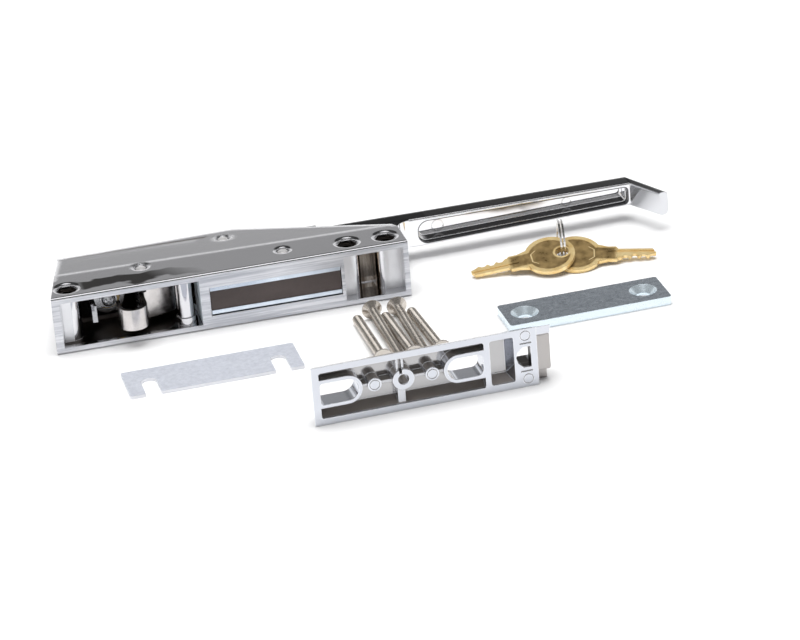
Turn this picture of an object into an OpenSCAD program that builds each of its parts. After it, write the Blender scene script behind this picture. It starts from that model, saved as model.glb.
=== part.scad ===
// Door handle latch: cast housing with a swinging grab handle, a spring catch with a rounded
// nose, a cylinder lock, a magnet pack, and the loose strike, plates, screws and keys of its set.
// Millimetres. Origin: end screw hole on the lower side face. X runs along the housing,
// Y towards the back of the housing, Z across it, up from the side face.

/* [Housing] */
// Length of the housing
housing_length = 168.6; // [167:0.2:172]
// Distance between the two side faces
housing_height = 28.6; // [28:0.1:30]
// Depth of the housing at its end
end_depth = 50.5; // [50:0.1:52]
// Depth of the housing where the taper starts
deepest = 54.5; // [54:0.1:56]
// Where the taper starts
taper_start = 95; // [94:0.5:98]
// Depth left at the thin end of the taper
taper_end_depth = 22; // [21.5:0.1:23]
// How far the end face leans in over its depth
end_lean = 10; // [9:0.2:10.6]
// Depth at which the side facets start at the end
crease_end = 25.5; // [25:0.1:27]
// Angle between the crease and the front edge
crease_angle = 1.53; // [1:0.05:2]
// Slope of the side facets
facet_angle = 7; // [6:0.1:7.4]
// Radius along the two long front edges
front_edge_radius = 1.4; // [0.8:0.1:2.4]
// Side walls of the front pockets
side_wall = 3.1; // [2.9:0.1:3.4]
// Side walls further in, behind the facets
deep_side_wall = 4.8; // [4.7:0.1:5.2]
// Rim at the closed end
end_rim = 3.6; // [3.2:0.1:4]
// Rim at the handle end
far_rim = 2.6; // [2.2:0.1:3]
// Thickness of the back wall
back_wall = 6.5; // [6:0.1:6.8]
// Corner radius of the front pockets
pocket_corner = 1.5; // [1:0.1:2]
// Depth of the wide part of the latch cavity
cavity_step = 25; // [24.6:0.1:25.4]
// End of the latch cavity at the front
cavity_end = 69; // [68.6:0.1:69.4]

/* [Screw holes] */
// Hole at the closed end, from that end
hole_end_x = 8.9; // [8.7:0.1:9.2]
// Middle hole, from the handle end
hole_mid_x = 26.9; // [26.4:0.1:27.4]
// Hole at the handle end, from that end
hole_far_x = 8.6; // [8:0.1:9]
// Depth of the hole axes behind the front face
hole_y = 9.8; // [9.6:0.1:10]
// Screw clearance holes
screw_hole_diameter = 5.5; // [5.3:0.1:5.8]
// Hexagonal sinks across the flats
hex_across_flats = 8.6; // [8:0.1:8.8]
// Depth of the hexagonal sinks
hex_depth = 2.8; // [2:0.1:2.9]
// Rounded mouth of the sinks
hex_mouth_diameter = 13.4; // [12.6:0.1:13.8]
// Depth of the rounded mouth
hex_mouth_depth = 1.1; // [0.8:0.1:1.9]
// Flat front of the screw bosses, from the front face
boss_front = 5.8; // [5.4:0.1:6]
// Radius of the screw boss flanks
boss_radius = 5.6; // [5.4:0.1:5.8]

/* [Handle] */
// Hinge position along the housing
handle_pin_x = 88.5; // [88.2:0.1:88.8]
// Hinge position behind the front face
handle_pin_y = 43.5; // [43.3:0.1:43.8]
// Swing of the handle, degrees
handle_swing = 10; // [8:0.5:10]
// Hub radius
hub_radius = 9; // [8.6:0.1:9]
// Height of the hub
hub_height = 15.4; // [15:0.1:15.8]
// Height of the slot between the cheeks
slot_height = 16.6; // [16.4:0.1:17]
// Front wall of the slot
slot_front = 20; // [19.8:0.1:20.2]
// Start of the open back of the slot
slot_back_start = 77; // [76.4:0.1:77.4]
// Height of the grip where it leaves the housing
grip_height = 15.5; // [15:0.1:15.8]
// Start of the straight grip, along the housing
grip_x = 186; // [184:0.5:188]
// Inner face of the grip there, from the front face
grip_y = 38.1; // [37.8:0.1:38.5]
// Thickness of the grip
grip_thickness = 10.9; // [10.4:0.1:11.4]
// Bend of the grip, along the housing
bend_x = 288.5; // [285:0.5:292]
// Inner face of the grip at its bend
bend_y = 42.2; // [41.6:0.1:42.8]
// Height of the grip at its bend
bend_height = 12.6; // [12.2:0.1:13.2]
// Tip of the grip, along the housing
tip_x = 298.2; // [297:0.1:300]
// Tip of the grip, from the front face
tip_y = 25.2; // [24:0.1:27]
// Thickness of the tip
tip_thickness = 4.8; // [4.6:0.1:5.6]
// Height of the tip
tip_height = 12; // [11.4:0.1:12.4]
// Rounding of the inner edges of the grip
grip_front_radius = 1.2; // [1:0.1:1.3]
// Rounding of the outer edges of the grip
grip_back_radius = 4.5; // [3.5:0.1:5]
// Rounding of the outer edges of the tip
tip_back_radius = 2.2; // [1.8:0.1:2.4]
// Fall of the grip's sides towards its inner face, degrees
grip_fall = 3.5; // [2:0.1:4.5]
// Left end of the hollow in the grip
hollow_start = 182.1; // [181.5:0.1:184]
// Left of the bend at which the hollow ends
hollow_end = 0.9; // [0.8:0.1:2]
// Height of the hollow at its left end
hollow_height = 11.3; // [10.8:0.1:11.6]
// Height of the hollow at the bend
hollow_end_height = 8.6; // [8:0.1:8.8]
// Corner radius of the hollow at its left end
hollow_round = 5; // [4:0.1:5.2]
// Depth of the hollow in the grip
hollow_depth = 7.4; // [6:0.1:7.8]
// Depth of the step round the hollow
hollow_step = 2.8; // [2:0.1:3.2]
// Width of that step
hollow_ledge = 0.6; // [0.4:0.1:0.7]
// Radius of the fillet where the root meets the grip
root_fillet = 6.5; // [6:0.1:7]
// Tip radius of the inner finger
finger_tip_radius = 2.2; // [1.9:0.1:2.2]
// Radius of the inner finger at the hub
finger_root_radius = 3.4; // [3:0.1:3.8]
// Height of the inner finger
finger_height = 9.5; // [8.5:0.1:10]

/* [Pins] */
// Diameter of the three pins
pin_diameter = 4.76; // [4.7:0.02:4.8]
// Radial play of the moving parts on their pins
pin_play = 0.05; // [0.03:0.01:0.08]
// Radial clearance of the pins in the housing
pin_seat = 0.02; // [0.01:0.01:0.03]
// Diameter of the recesses round the pin heads
pin_recess_diameter = 6.2; // [6:0.1:6.6]
// Depth of those recesses
pin_recess_depth = 1.1; // [0.9:0.1:1.4]
// Rounded mouth of the recesses
pin_mouth_diameter = 9.6; // [9:0.1:10]
// Depth of the rounded mouth
pin_mouth_depth = 0.7; // [0.5:0.1:0.8]
// Height of the domed pin ends
pin_dome = 0.7; // [0.5:0.1:0.8]

/* [Catch] */
// Catch pin along the housing
catch_pin_x = 45.4; // [45.2:0.1:45.6]
// Catch pin behind the front face
catch_pin_y = 20.2; // [20.1:0.1:20.4]
// Sheet thickness of the catch
catch_sheet = 2; // [1.8:0.1:2]
// Outer radius of the catch nose
nose_radius = 6.8; // [6.6:0.1:7]
// Right side of the nose, along the housing
nose_right = 43.9; // [43.7:0.1:44]
// Width of the strap
strap_width = 10.3; // [9.8:0.1:10.6]
// Length of the free leg behind the front face
free_leg = 7.2; // [6.8:0.1:7.4]
// Length of the inner leg behind the front face
inner_leg = 10.1; // [10:0.05:10.2]
// Angle of the push plate
push_plate_angle = 16.3; // [16:0.1:16.6]
// Length of the push plate
push_plate_length = 15.2; // [14.6:0.1:15.4]
// Width of the push plate
push_plate_width = 16.5; // [16:0.1:17]
// Outer radius of the catch ears
ear_radius = 4.5; // [4.2:0.1:4.6]
// Axial play of the ears
ear_play = 0.3; // [0.2:0.05:0.4]

/* [Spring] */
// Spring wire
spring_wire = 1; // [0.9:0.05:1]
// Mean coil radius
spring_radius = 3.6; // [3.5:0.05:3.7]
// Distance between coils
spring_pitch = 1.55; // [1.5:0.05:1.6]
// Number of coils
spring_turns = 5; // [4:1:5]

/* [Magnet] */
// Left end of the magnet pocket
magnet_pocket_start = 73.5; // [73.2:0.1:73.8]
// Length of the magnet pocket
magnet_pocket_length = 62.5; // [62:0.1:62.8]
// Depth of the magnet pocket
magnet_pocket_depth = 17; // [16.8:0.1:17.2]
// Height of the magnet pocket
magnet_pocket_height = 14.3; // [14:0.1:14.4]
// Space at each end of the magnet
magnet_end_gap = 0.3; // [0.2:0.1:0.5]
// Thickness of the magnet
magnet_thickness = 9.8; // [9.4:0.1:10]
// Depth of the magnet
magnet_depth = 9.9; // [9.6:0.1:10]
// Thickness of a pole plate
pole_plate = 1.9; // [1.7:0.1:1.9]
// Magnet face behind the front face
magnet_set_back = 0.5; // [0.3:0.1:0.6]
// Pole plate edges behind the front face
plate_set_back = 0.2; // [0.1:0.1:0.3]
// Magnet pin along the housing
magnet_pin_x = 111.5; // [111:0.1:112]
// Magnet pin behind the front face
magnet_pin_y = 13; // [12.9:0.1:13.2]

/* [Lock] */
// Lock axis along the housing
lock_x = 28.75; // [28.6:0.05:28.9]
// Diameter of the lock barrel
barrel_diameter = 16; // [15.6:0.1:16.2]
// Length of the lock barrel
barrel_length = 27.7; // [27.6:0.1:27.8]
// Diameter of the face flange
flange_diameter = 19; // [18.6:0.1:19.4]
// Thickness of the face flange
flange_thickness = 1.6; // [1.4:0.1:1.8]
// Radial clearance of the barrel in its bore
barrel_fit = 0.05; // [0.03:0.01:0.1]
// Radial room round the flange
flange_room = 0.5; // [0.3:0.1:0.7]
// Seat of the flange, from the front face
flange_seat = 50.2; // [50.1:0.1:50.3]
// Diameter of the lock plug
plug_diameter = 11.5; // [11:0.1:11.8]
// Running clearance of the plug
plug_play = 0.05; // [0.03:0.01:0.08]
// Width of the keyway
keyway_width = 2.3; // [2.2:0.1:2.6]
// Height of the keyway
keyway_height = 8.4; // [8:0.1:8.6]
// Depth of the keyway
keyway_depth = 20; // [16:0.5:21]
// Thickness of the cam
cam_thickness = 2; // [1.8:0.1:2]
// Gap between the cam and the barrel
cam_gap = 0.3; // [0.2:0.05:0.4]
// Width of the cam arm
cam_width = 7.6; // [7.4:0.1:8]
// Outer face of the cam flange, from the lock axis
cam_reach = 9.75; // [9.6:0.05:9.8]
// Thickness of the cam flange
cam_flange = 2.3; // [2:0.1:2.4]
// Height of the cam flange
cam_flange_height = 8.3; // [8:0.1:8.6]
// Front edge of the cam flange, from the front face
cam_flange_front = 7; // [6.8:0.1:7.6]
// Thickness of the washer
washer_thickness = 0.8; // [0.6:0.1:0.9]
// Diameter of the washer
washer_diameter = 8; // [7.6:0.1:8.4]
// Diameter of the cam screw head
cam_screw_head = 6.6; // [6.2:0.1:6.8]
// Height of the cam screw head
cam_screw_head_height = 1.9; // [1.7:0.1:2]
// Diameter of the cam screw
cam_screw_diameter = 3; // [2.8:0.1:3.2]
// Length of the cam screw under its head
cam_screw_length = 8.4; // [7:0.1:8.6]
// Square drive between plug and cam
drive_square = 4.6; // [4.5:0.05:4.8]
// Clearance of the small lock pieces
lock_fit = 0.05; // [0.03:0.01:0.08]
// Width of the lock clip
clip_size = 18.4; // [18:0.1:18.6]
// Room above and below the lock clip
clip_room = 0.3; // [0.2:0.05:0.5]
// Band of the clip beyond the barrel
clip_band = 1.2; // [1:0.05:1.2]
// Thickness of the lock clip
clip_thickness = 1.2; // [1:0.1:1.3]
// Depth of the clip grooves
clip_groove = 1; // [0.8:0.1:1.1]

/* [Strike] */
// Length of the strike
strike_length = 103; // [102.6:0.1:104]
// Width of the strike
strike_width = 28.6; // [28.2:0.1:29]
// Thickness of the strike
strike_thickness = 10; // [9.8:0.1:10.4]
// Draft of three of its edges over the thickness
strike_draft = 3.2; // [2.6:0.1:3.2]
// Draft of the long sides of the strike over its thickness
strike_side_draft = 4.6; // [4:0.1:4.8]
// Rim of the strike
strike_rim = 3.4; // [3.3:0.1:3.6]
// Depth of its pockets
strike_pocket = 6.4; // [6:0.1:6.6]
// Height of the two slots
strike_slot = 10.4; // [10:0.1:10.8]
// Height of the slot centre line
strike_slot_z = 15.1; // [14.9:0.1:15.3]
// Wall round the slots
strike_slot_wall = 1.6; // [1.4:0.1:1.7]
// Right end of the first slot
first_slot_end = 21.1; // [20.8:0.1:21.4]
// Left end of the second slot
second_slot_start = 61.5; // [61.2:0.1:61.8]
// Right end of the second slot
second_slot_end = 78; // [77.8:0.1:78.2]
// Centre boss along the strike
strike_boss_x = 41.4; // [41:0.1:41.8]
// Radius of the centre boss
strike_boss_radius = 4.9; // [4.7:0.1:5]
// Hole in the centre boss
strike_boss_hole = 5; // [4.8:0.1:5.2]
// Distance of the two small bosses from the centre one
small_boss_pitch = 13.15; // [12.9:0.05:13.4]
// Radius of the small bosses
small_boss_radius = 3.15; // [3:0.05:3.3]
// Keeper block beyond the end of the strike
keeper_overhang = 6.6; // [6:0.1:7]
// Depth of the keeper block
keeper_depth = 14.5; // [14:0.1:15]
// Height of the keeper block
keeper_height = 17.4; // [17:0.1:17.6]
// Front of the keeper behind the ribbed face of the strike
keeper_front = 3; // [2.8:0.1:3.4]
// Slope of the end of the keeper on either side
keeper_slope = 1.8; // [1.6:0.1:1.9]
// Height of the hollow in the keeper
keeper_hollow = 11.7; // [11.4:0.1:12]

/* [Plates] */
// Length of the armature plate
armature_length = 77.7; // [77:0.1:78.4]
// Width of the armature plate
armature_width = 23.1; // [22.8:0.1:23.6]
// Thickness of the armature plate
armature_thickness = 4.4; // [4.2:0.1:4.6]
// Distance between its holes
armature_pitch = 57.4; // [57:0.1:57.8]
// Its holes
armature_hole = 7; // [6.8:0.1:7.2]
// Its countersinks
armature_sink = 13; // [12.6:0.1:13.4]
// Length of the shim
shim_length = 80.6; // [80:0.1:81]
// Width of the shim
shim_width = 25.5; // [25.2:0.1:25.8]
// Thickness of the shim
shim_thickness = 1.5; // [1.3:0.1:1.6]
// Width of its notches
shim_notch = 7.2; // [7:0.1:7.4]
// Depth of its notches
shim_notch_depth = 15.4; // [15:0.1:15.6]
// Distance between its notches
shim_pitch = 60; // [59.6:0.1:60.4]

/* [Screws] */
// Length of the screws
screw_length = 50.8; // [50:0.05:51]
// Outside diameter of the thread
screw_diameter = 4.83; // [4.7:0.01:4.9]
// Diameter of the countersunk heads
screw_head = 9.6; // [9.4:0.1:9.8]
// Height of the heads
screw_head_height = 2.8; // [2.6:0.1:3]

/* [Keys] */
// Thickness of the key blanks
key_thickness = 1.7; // [1.6:0.05:1.7]
// Thickness of the raised rim of the bow
key_rim_thickness = 2; // [1.9:0.05:2]
// Diameter of the bow
key_bow = 24.3; // [24:0.1:24.4]
// Width of the raised rim
key_rim = 2; // [1.6:0.1:2.4]
// Diameter of the hanging hole
key_hole = 6.6; // [6.5:0.05:6.8]
// Width of the raised rim round it
key_hole_rim = 1.1; // [0.9:0.1:1.3]
// Hole centre to bow centre
key_hole_offset = 6; // [5.9:0.1:6.1]
// Hole centre to the tip
key_reach = 44; // [43.6:0.1:44.4]
// Width of the shoulder
key_shoulder = 9.3; // [9:0.1:9.6]
// Width of the blade
key_blade = 7; // [6.8:0.1:7.2]
// Diameter of the key ring wire
ring_wire = 1.1; // [1:0.05:1.1]
// Mean radius of the key ring
ring_radius = 8.9; // [8.8:0.05:9]

/* [Layout of the loose pieces] */
// Strike, along the housing
strike_x = 97.4; // [90:0.1:100]
// Strike, in front of the housing
strike_y = 115.2; // [110:0.1:125]
// Turn of the strike
strike_turn = 2.1; // [0:0.1:4]
// Armature plate, along the housing
plate_x = 201.7; // [200:0.1:205]
// Armature plate, in front of the housing
plate_y = 57.7; // [55:0.1:60]
// Turn of the armature plate
plate_turn = 2; // [0:0.1:4]
// Shim, along the housing
shim_x = 24.8; // [20:0.1:30]
// Shim, in front of the housing
shim_y = 57.8; // [55:0.1:65]
// Turn of the shim
shim_turn = 1.2; // [0:0.1:4]
// Keys, along the housing
keys_x = 243.6; // [243:0.1:246]
// Keys, behind the front of the housing
keys_y = 5; // [4:0.1:6]
// Height of the upper key
keys_z = 6.9; // [6.9:0.05:7.2]
// Screws with the tip to the housing: head of the first, along the housing
screws_x = 139; // [138:0.1:140]
// Heads of these screws, in front of the housing
screws_far = 69.2; // [69.2:0.1:72]
// Heads of the other screws, in front of the housing
screws_near = 17.1; // [16.6:0.1:17.6]
// Distance between two screws that lie side by side
screws_pitch = 6.5; // [6.5:0.05:7]

/* [Hidden] */
$fn = 48;
small = 0.01;
big = 400;
mid = housing_height / 2;
pin_r = pin_diameter / 2;
lean = end_lean / 47;
taper_end_x = housing_length - 2.6;
back_slope = (deepest - end_depth) / (taper_start - end_lean);
taper_slope = (deepest - taper_end_depth) / (taper_end_x - taper_start);
mid_hole_x = housing_length - hole_mid_x;
far_hole_x = housing_length - hole_far_x;
root_x = housing_length + 2;
root_y = grip_y - 0.3;
grip_turn = atan2(bend_y - grip_y, bend_x - grip_x);
clip_height = barrel_diameter + 2 * clip_band;

function back_y(x) = end_depth + (x - end_lean) * back_slope;
function clip_front() = back_y(lock_x - clip_size / 2) - back_wall - clip_thickness - lock_fit;
function facet_drop(x, y) =
    max(0, ((y - crease_end) * cos(crease_angle) + x * sin(crease_angle)) * tan(facet_angle));

// Smallest distance between the surfaces of neighbouring turns.
function least_gap(path, steps, wire) =
    min([for (i = [0:len(path) - 1]) for (j = [i + floor(steps / 2):1:len(path) - 1])
      norm(path[i] - path[j])]) - wire;

module in_frame() {
  translate([-hole_end_x, -hole_y, 0])
    children();
}

// Extrudes a shape drawn in X and Z from y0 to y1.
module along_y(y0, y1) {
  translate([0, y1, 0])
    rotate([90, 0, 0])
      linear_extrude(y1 - y0)
        children();
}

// Extrudes a plan between two heights.
module between(z0, z1) {
  translate([0, 0, z0])
    linear_extrude(z1 - z0)
      children();
}

// Extrudes a plan evenly about the middle height.
module about_mid(height) {
  between(mid - height / 2, mid + height / 2)
    children();
}

module round_rect(x0, z0, x1, z1, r) {
  translate([x0 + r, z0 + r])
    offset(r = r, $fn = 24)
      square([x1 - x0 - 2 * r, z1 - z0 - 2 * r]);
}

// Does the same to the side face and, mirrored, to the opposite one.
module both_sides() {
  children();
  translate([0, 0, housing_height])
    mirror([0, 0, 1])
      children();
}

module tube(path, side, r, n = 12) {
  k = len(path);
  points = [for (i = [0:k - 1]) for (j = [0:n - 1])
    path[i] + r * (cos(360 * j / n) * side[i] + sin(360 * j / n) * [0, 0, 1])];
  sides = [for (i = [0:k - 2]) for (j = [0:n - 1])
    [i * n + j, (i + 1) * n + j, (i + 1) * n + (j + 1) % n, i * n + (j + 1) % n]];
  first = [for (j = [0:n - 1]) j];
  last = [for (j = [n - 1:-1:0]) (k - 1) * n + j];
  polyhedron(points = points, faces = concat(sides, [first, last]), convexity = 6);
}

// Housing

module housing_plan() {
  polygon([[0, 0], [housing_length, 0], [housing_length - 0.4, taper_end_depth - 4],
      [taper_end_x, taper_end_depth], [taper_start, deepest], [end_lean, end_depth],
      [end_lean, 47]]);
}

module housing_block() {
  difference() {
    between(0, housing_height)
      housing_plan();
    both_sides()
      translate([0, crease_end, housing_height])
        rotate([0, 0, -crease_angle])
          rotate([-facet_angle, 0, 0])
            translate([-20, -10, 0])
              cube([240, 60, 20]);
    both_sides()
      translate([-1, 0, 0])
        difference() {
          translate([0, -1, -1])
            cube([housing_length + 2, front_edge_radius + 1, front_edge_radius + 1]);
          translate([-1, front_edge_radius, front_edge_radius])
            rotate([0, 90, 0])
              cylinder(r = front_edge_radius, h = housing_length + 4);
        }
  }
}

module latch_cavity() {
  inner = cavity_end - 3;
  about_mid(housing_height - 2 * side_wall)
    difference() {
      polygon([[end_rim, -1], [cavity_end, -1], [cavity_end, magnet_pocket_depth],
          [inner, cavity_step], [end_rim + cavity_step * lean, cavity_step]]);
      translate([0, boss_front])
        square([hole_end_x, boss_radius * 2]);
      translate([hole_end_x, boss_front + boss_radius])
        circle(boss_radius);
      translate([62.3, 6])
        circle(3.75);
    }
  about_mid(housing_height - 2 * deep_side_wall)
    polygon([[end_rim + cavity_step * lean, cavity_step - 1], [76, cavity_step - 1],
        [76, back_y(76) - back_wall], [end_lean + end_rim, back_y(13) - back_wall]]);
}

module handle_slot() {
  about_mid(slot_height)
    polygon([[cavity_end - 4, magnet_pocket_depth], [cavity_end + 2, magnet_pocket_depth],
        [cavity_end + 5.5, slot_front], [housing_length + 1, slot_front],
        [housing_length + 1, 70], [slot_back_start, 70],
        [slot_back_start - 1, back_y(76) - back_wall], [cavity_end - 5, back_y(70) - back_wall]]);
}

module magnet_pocket() {
  along_y(-1, magnet_pocket_depth)
    translate([magnet_pocket_start, mid - 0.25 - magnet_pocket_height / 2])
      square([magnet_pocket_length, magnet_pocket_height]);
}

module far_pocket() {
  front = magnet_pocket_start + magnet_pocket_length + 1.6;
  back = housing_length - far_rim;
  about_mid(housing_height - 2 * side_wall)
    difference() {
      translate([front, -1])
        square([back - front, magnet_pocket_depth + 1]);
      translate([front - 1, boss_front])
        square([mid_hole_x - front + 1, 20]);
      translate([mid_hole_x, boss_front + boss_radius])
        circle(boss_radius);
      translate([mid_hole_x - 1, boss_front + boss_radius])
        square([boss_radius + 1, 20]);
      translate([far_hole_x, boss_front])
        square([10, 20]);
      translate([far_hole_x, boss_front + boss_radius])
        circle(boss_radius);
      translate([far_hole_x - boss_radius, boss_front + boss_radius])
        square([boss_radius + 1, 20]);
    }
}

// Rounded mouth cut into a face at z = 0
module mouth(outer, inner, depth) {
  run = (outer - inner) / 2;
  rotate_extrude()
    polygon(concat([[0, 2], [0, -depth]],
        [for (a = [90:-22.5:0]) [outer / 2 - run * sin(a), depth * cos(a) - depth]],
        [[outer / 2, 2]]));
}

module screw_bore(x) {
  translate([x, hole_y, -1]) {
    cylinder(d = screw_hole_diameter, h = housing_height + 2);
  }
  translate([x, hole_y, housing_height]) {
    translate([0, 0, -hex_depth])
      cylinder(d = hex_across_flats / cos(30), h = hex_depth + 1, $fn = 6);
    mouth(hex_mouth_diameter, hex_across_flats / cos(30), hex_mouth_depth);
  }
}

module pin_bore(x, y) {
  translate([x, y, -1])
    cylinder(r = pin_r + pin_seat, h = housing_height + 2);
  both_sides()
    translate([x, y, -1])
      cylinder(d = pin_recess_diameter, h = facet_drop(x, y) + pin_recess_depth + 1);
  both_sides()
    translate([x, y, facet_drop(x, y)])
      mirror([0, 0, 1])
        mouth(pin_mouth_diameter, pin_recess_diameter, pin_mouth_depth);
  both_sides()
    translate([x, y, -1])
      cylinder(d = pin_mouth_diameter, h = facet_drop(x, y) + 1);
}

module ear_bosses() {
  top = mid + push_plate_width / 2 + ear_play;
  both_sides()
    translate([catch_pin_x, catch_pin_y, top])
      cylinder(r = ear_radius - 0.5, h = housing_height - side_wall - top + small);
}

module clip_seat() {
  tall = clip_height / 2 + clip_room - small;
  half = clip_size / 2 + clip_room;
  translate([lock_x - half, clip_front() - clip_room, mid - tall])
    cube([2 * half, clip_thickness + clip_room, 2 * tall]);
}

module housing() {
  color("silver")
    in_frame()
      difference() {
        union() {
          difference() {
            housing_block();
            latch_cavity();
            handle_slot();
          }
          ear_bosses();
          translate([62.3, 6, side_wall - small])
            cylinder(r = 4.4, h = 3.9);
        }
        magnet_pocket();
        far_pocket();
        clip_seat();
        screw_bore(hole_end_x);
        screw_bore(mid_hole_x);
        screw_bore(far_hole_x);
        pin_bore(catch_pin_x, catch_pin_y);
        pin_bore(handle_pin_x, handle_pin_y);
        pin_bore(magnet_pin_x, magnet_pin_y);
        translate([lock_x, big / 2, mid])
          rotate([90, 0, 0])
            cylinder(d = barrel_diameter + 2 * barrel_fit, h = big / 2 - 40);
        translate([lock_x, big / 2, mid])
          rotate([90, 0, 0])
            cylinder(d = flange_diameter + 2 * flange_room, h = big / 2 - flange_seat);
      }
}

// Pins

module pin(x, y) {
  top = housing_height - facet_drop(x, y) - 0.2;
  low = housing_height - top;
  r = pin_r;
  in_frame()
    translate([x, y, 0])
      rotate_extrude()
        polygon([[0, low], [r * 0.5, low + pin_dome * 0.14], [r * 0.8, low + pin_dome * 0.45],
            [r, low + pin_dome], [r, top - pin_dome], [r * 0.8, top - pin_dome * 0.45],
            [r * 0.5, top - pin_dome * 0.14], [0, top]]);
}

module handle_pin() {
  color("lightgray")
    pin(handle_pin_x, handle_pin_y);
}

module catch_pin() {
  color("lightgray")
    pin(catch_pin_x, catch_pin_y);
}

module magnet_pin() {
  color("lightgray")
    pin(magnet_pin_x, magnet_pin_y);
}

// Handle

module handle_plan() {
  hx = handle_pin_x;
  hy = handle_pin_y;
  rise = root_x + root_fillet;
  difference() {
    union() {
      translate([hx, hy])
        circle(hub_radius);
      polygon([[hx, hy + hub_radius], [hx + 46, grip_y + grip_thickness], [hx + 46, grip_y + 6],
          [rise + 0.5, grip_y + 5], [rise + 0.5, root_y], [root_x + 0.4, root_y - 1],
          [root_x + 0.2, 33], [root_x - 0.4, 25.9], [root_x - 2.1, 25.4], [hx + 4, hy - 8.2]]);
      polygon([[root_x - 1.6, 34], [root_x, 26], [rise, root_y], [root_x - 1.6, root_y + 1]]);
    }
    translate([rise, root_y - root_fillet])
      circle(root_fillet);
  }
}

// Side view of the arm, its two sides falling towards the front
module arm_profile() {
  h = hub_height / 2;
  y = grip_y + grip_thickness - grip_back_radius;
  fall = tan(grip_fall);
  polygon([[20, -h + (y - 20) * fall], [y, -h], [70, -h], [70, h], [y, h],
      [20, h - (y - 20) * fall]]);
}

// Thin slice across the grip, its inner face at x and y
module grip_slice(x, y, turn, thick, height, back) {
  f = grip_front_radius;
  fall = (thick - back - f) * tan(grip_fall);
  translate([x, y, mid])
    rotate([0, 0, turn])
      for (side = [-1, 1]) {
        translate([0, f, side * (height / 2 - fall - f)])
          rotate([0, 90, 0])
            cylinder(r = f, h = small, $fn = 20);
        translate([0, thick - back, side * (height / 2 - back)])
          rotate([0, 90, 0])
            cylinder(r = back, h = small, $fn = 32);
      }
}

// Thin slice of the hollow, parallel to the inner face
module hollow_slice(depth, inset) {
  length = bend_x - hollow_end - hollow_start;
  r = hollow_round;
  e = 2;
  for (side = [-1, 1]) {
    translate([r, depth, side * (hollow_height / 2 - r)])
      rotate([-90, 0, 0])
        cylinder(r = r - inset, h = small, $fn = 32);
    translate([length - e, depth, side * (hollow_end_height / 2 - e)])
      rotate([-90, 0, 0])
        cylinder(r = e - inset, h = small, $fn = 20);
  }
}

module grip_hollow() {
  y = grip_y + (hollow_start - grip_x) * tan(grip_turn);
  translate([hollow_start, y, mid - 0.3])
    rotate([0, 0, grip_turn])
      difference() {
        union() {
          hull() {
            hollow_slice(-1, 0);
            hollow_slice(hollow_step, 0);
          }
          hull() {
            hollow_slice(hollow_step - 1, hollow_ledge);
            hollow_slice(hollow_depth, hollow_ledge + 0.3);
          }
        }
        for (mark = [[11.3, 2.9], [76.4, 2.2]])
          translate([mark[0], hollow_depth - 0.15, -0.8])
            rotate([-90, 0, 0])
              cylinder(r = mark[1], h = 1);
      }
}

module handle() {
  t = grip_thickness;
  r = grip_back_radius;
  color("silver")
    in_frame()
      difference() {
        union() {
          intersection() {
            about_mid(hub_height)
              handle_plan();
            translate([handle_pin_x - 20, 0, mid])
              rotate([90, 0, 90])
                linear_extrude(root_x + 38 - handle_pin_x)
                  arm_profile();
          }
          hull() {
            grip_slice(handle_pin_x + 44, grip_y, 0, t, grip_height, r);
            grip_slice(grip_x, grip_y, 0, t, grip_height, r);
          }
          hull() {
            grip_slice(grip_x, grip_y, 0, t, grip_height, r);
            grip_slice(bend_x, bend_y, 0, t, bend_height, r);
          }
          hull() {
            grip_slice(bend_x, bend_y, 0, t, bend_height, r);
            grip_slice(tip_x, tip_y, -77.3, tip_thickness, tip_height, tip_back_radius);
          }
          about_mid(finger_height)
            hull() {
              translate([55, 19.6])
                circle(finger_tip_radius);
              translate([handle_pin_x, handle_pin_y])
                circle(finger_root_radius);
            }
        }
        grip_hollow();
        translate([handle_pin_x, handle_pin_y, 0])
          cylinder(r = pin_r + pin_play, h = housing_height);
      }
}

// Catch

module catch_strap() {
  cx = nose_right - nose_radius;
  t = catch_sheet;
  translate([cx, 0])
    difference() {
      circle(nose_radius);
      circle(nose_radius - t);
      translate([-20, 0])
        square([40, 20]);
    }
  translate([cx - nose_radius, 0])
    square([t, free_leg]);
  translate([nose_right - t, 0])
    square([t, inner_leg]);
  translate([nose_right + 1, inner_leg])
    intersection() {
      difference() {
        circle(1 + t);
        circle(1);
      }
      polygon([[0, 0], [-8, 0], [-8, 8], [-8 * tan(push_plate_angle), 8]]);
    }
}

module push_plate(start, length) {
  translate([nose_right + 1, inner_leg])
    rotate(push_plate_angle)
      translate([start, 1])
        square([length, catch_sheet]);
}

module latch_catch() {
  t = catch_sheet;
  color("gainsboro")
    in_frame()
      difference() {
        union() {
          about_mid(strap_width) {
            catch_strap();
            push_plate(0, 1);
          }
          intersection() {
            about_mid(push_plate_width)
              push_plate(1, push_plate_length - 1);
            translate([0, 0, mid])
              along_y(0, 40)
                round_rect(40, -push_plate_width / 2, 59.6, push_plate_width / 2, 2);
          }
          for (z = [mid - push_plate_width / 2, mid + push_plate_width / 2 - t])
            between(z, z + t)
              hull() {
                translate([catch_pin_x, catch_pin_y])
                  circle(ear_radius);
                push_plate(1.2, 8);
              }
        }
        translate([catch_pin_x, catch_pin_y, 0])
          cylinder(r = pin_r + pin_play, h = housing_height);
      }
}

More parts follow.
